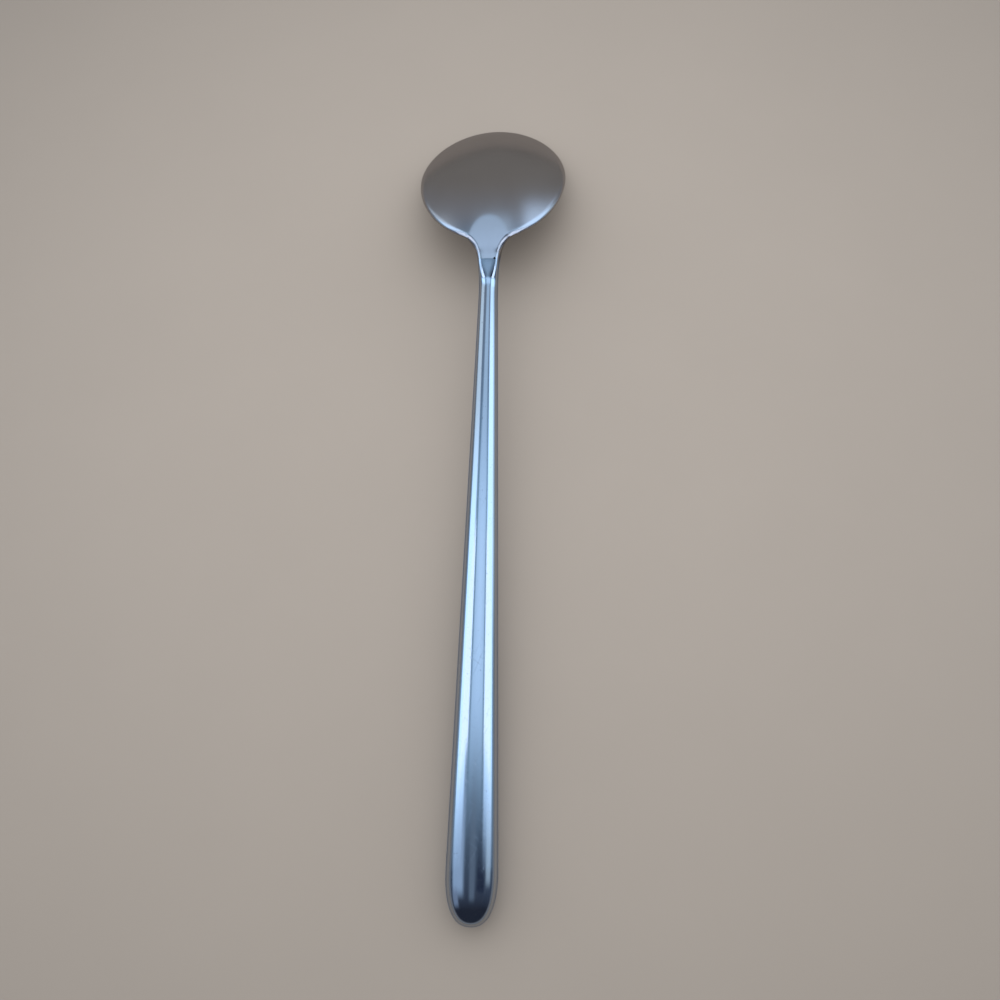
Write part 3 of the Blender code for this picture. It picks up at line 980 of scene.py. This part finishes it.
def add_room(settings):
    """A dim room with soft panels of cool light overhead, and a plain soft light on the floor."""
    world = bpy.data.worlds.new("room")
    bpy.context.scene.world = world
    world.use_nodes = True
    nodes = Nodes(world.node_tree)
    towards = nodes.add("ShaderNodeTexCoord", None, None, "Generated")
    x, y, z = (nodes.add("ShaderNodeSeparateXYZ", None, {0: towards}, axis) for axis in "XYZ")
    aside = nodes.degrees(nodes.add("ShaderNodeMath", {"operation": "ARCTAN2"}, {0: x, 1: z}))
    ahead = nodes.degrees(nodes.add("ShaderNodeMath", {"operation": "ARCSINE"}, {0: y}))
    light = nodes.ramp(ahead, ROOM_LIGHT)
    low = nodes.between(z, *WALL_RISE) * nodes.between(ahead, *WALL_AHEAD)
    light = nodes.mix(low, light, rgba(settings.side_colour))
    for panel in PANELS:
        across = nodes.band(aside + ahead * panel.slant, panel.aside, panel.aside_soft)
        along = nodes.band(ahead, panel.ahead, panel.ahead_soft)
        light = nodes.mix(across * along, light, rgba(panel.colour))
    near = settings.near_light
    far = darker(near, settings.far_light)
    plain = nodes.mix(nodes.between(y, *PLAIN_SPAN), rgba(near), rgba(far))
    kinds = ("Camera", "Glossy", "Transmission")
    seen = [nodes.add("ShaderNodeLightPath", None, None, f"Is {kind} Ray") for kind in kinds]
    light = nodes.mix(seen[0] + seen[1] + seen[2], plain, light)
    nodes.feed(world.node_tree.nodes["Background"].inputs["Color"], light)


def add_cards(settings):
    """Two bright cards beside the neck, which only its polished edges show."""
    material = bpy.data.materials.new("card")
    material.use_nodes = True
    shader = material.node_tree.nodes["Principled BSDF"]
    shader.inputs["Base Color"].default_value = (0, 0, 0, 1)
    shader.inputs["Emission Color"].default_value = rgba(settings.card_colour)
    shader.inputs["Emission Strength"].default_value = settings.card_light
    wide, deep = CARD_SIZE
    aside, ahead, up = CARD_PLACE
    for name, side in (("card_left", -1), ("card_right", 1)):
        mesh = bmesh.new()
        bmesh.ops.create_grid(mesh, x_segments=1, y_segments=1, size=0.5)
        bmesh.ops.scale(mesh, verts=mesh.verts, vec=(wide, deep, 1))
        bmesh.ops.translate(mesh, verts=mesh.verts, vec=(aside * side, ahead, up))
        card = make_object(name, mesh, material)
        card.visible_camera = False
        card.visible_diffuse = False
        card.visible_shadow = False


def add_camera():
    """A camera above the handle's end that looks along the spoon to its bowl."""
    camera = bpy.data.cameras.new("camera")
    camera.sensor_width = CAMERA_LENS
    camera.lens = CAMERA_LENS
    made = bpy.data.objects.new("camera", camera)
    down, aside, roll = map(math.radians, (CAMERA_DOWN, CAMERA_ASIDE, CAMERA_ROLL))
    ahead = Vector(
        (math.sin(aside) * math.cos(down), math.cos(aside) * math.cos(down), -math.sin(down))
    )
    level = Vector((math.cos(aside), -math.sin(aside), 0))
    above = level.cross(ahead)
    right = level * math.cos(roll) + above * math.sin(roll)
    up = above * math.cos(roll) - level * math.sin(roll)
    turned = Matrix((right, up, -ahead)).transposed().to_4x4()
    made.matrix_world = Matrix.Translation(CAMERA_PLACE) @ turned
    camera.clip_start = 0.01
    bpy.context.scene.collection.objects.link(made)
    bpy.context.scene.camera = made


class SPOON_OT_studio(bpy.types.Operator):
    """Makes the floor, the room's light, the cards and the camera"""

    bl_idname = "spoon.studio"
    bl_label = "Studio"

    def execute(self, context):
        settings = context.scene.spoon_studio
        add_floor(settings)
        add_room(settings)
        add_cards(settings)
        add_camera()
        context.scene.view_settings.view_transform = "Standard"
        return {"FINISHED"}


class SPOON_PT_panel(bpy.types.Panel):
    """Lists the spoon's pieces, sizes and finishes"""

    bl_idname = "SPOON_PT_panel"
    bl_label = "Table Spoon"
    bl_space_type = "VIEW_3D"
    bl_region_type = "UI"
    bl_category = "Spoon"

    def draw(self, context):
        layout = self.layout
        for operator in OPERATORS:
            layout.operator(operator.bl_idname)
        scene = context.scene
        for group in (scene.spoon_sizes, scene.spoon_finish, scene.spoon_studio):
            box = layout.box()
            for name in group.__annotations__:
                box.prop(group, name)


OPERATORS = (
    SPOON_OT_bowl,
    SPOON_OT_neck_weld,
    SPOON_OT_handle,
    SPOON_OT_seam_weld,
    SPOON_OT_studio,
)
CLASSES = (SpoonSizes, SpoonFinish, StudioSettings, *OPERATORS, SPOON_PT_panel)


def register():
    for made in CLASSES:
        bpy.utils.register_class(made)
    bpy.types.Scene.spoon_sizes = bpy.props.PointerProperty(type=SpoonSizes)
    bpy.types.Scene.spoon_finish = bpy.props.PointerProperty(type=SpoonFinish)
    bpy.types.Scene.spoon_studio = bpy.props.PointerProperty(type=StudioSettings)


def unregister():
    del bpy.types.Scene.spoon_studio
    del bpy.types.Scene.spoon_finish
    del bpy.types.Scene.spoon_sizes
    for made in reversed(CLASSES):
        bpy.utils.unregister_class(made)


def main():
    register()
    bpy.ops.spoon.bowl()
    bpy.ops.spoon.neck_weld()
    bpy.ops.spoon.handle()
    bpy.ops.spoon.seam_weld()
    bpy.ops.spoon.studio()


if __name__ == "__main__":
    main()
